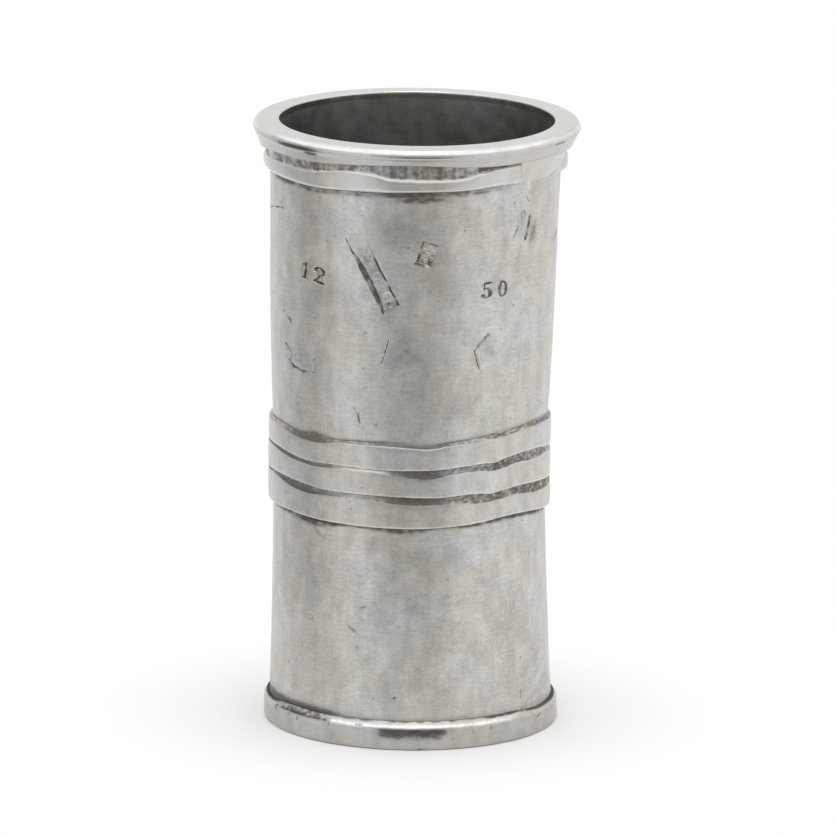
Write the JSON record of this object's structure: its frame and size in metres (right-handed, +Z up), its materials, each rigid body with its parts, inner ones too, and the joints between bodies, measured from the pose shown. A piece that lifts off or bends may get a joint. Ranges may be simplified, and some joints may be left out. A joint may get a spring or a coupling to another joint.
{
  "type": "liquid measure",
  "caption": "Open-topped waisted pewter liquid measure with a heavy mouth ring, neck moulding, waist straps and a foot ring.",
  "frame": {"origin": "on the table, under the axis of the measure", "axes": "+Z up along the axis, -Y towards the front that is stamped, +X to the right of it"},
  "size_m": [0.0816, 0.0816, 0.1519],
  "materials": {
    "barrel_pewter": "satin",
    "ring_pewter": "satin",
    "strap_pewter": "satin",
    "base_pewter": "matte",
    "solder": "satin"
  },
  "bodies": {
    "root": {"upper_barrel": "barrel_pewter", "upper_seam_solder": "solder", "lower_barrel": "barrel_pewter", "lower_seam_solder": "solder", "lip_ring": "ring_pewter", "neck_moulding": "ring_pewter", "neck_butt_solder": "solder", "lower_strap": "strap_pewter", "middle_strap": "strap_pewter", "upper_strap": "strap_pewter", "strap_butt_solder": "solder", "foot_ring": "ring_pewter", "base_plate": "base_pewter", "base_solder": "solder", "foot_solder": "solder"}
  },
  "joints": []
}
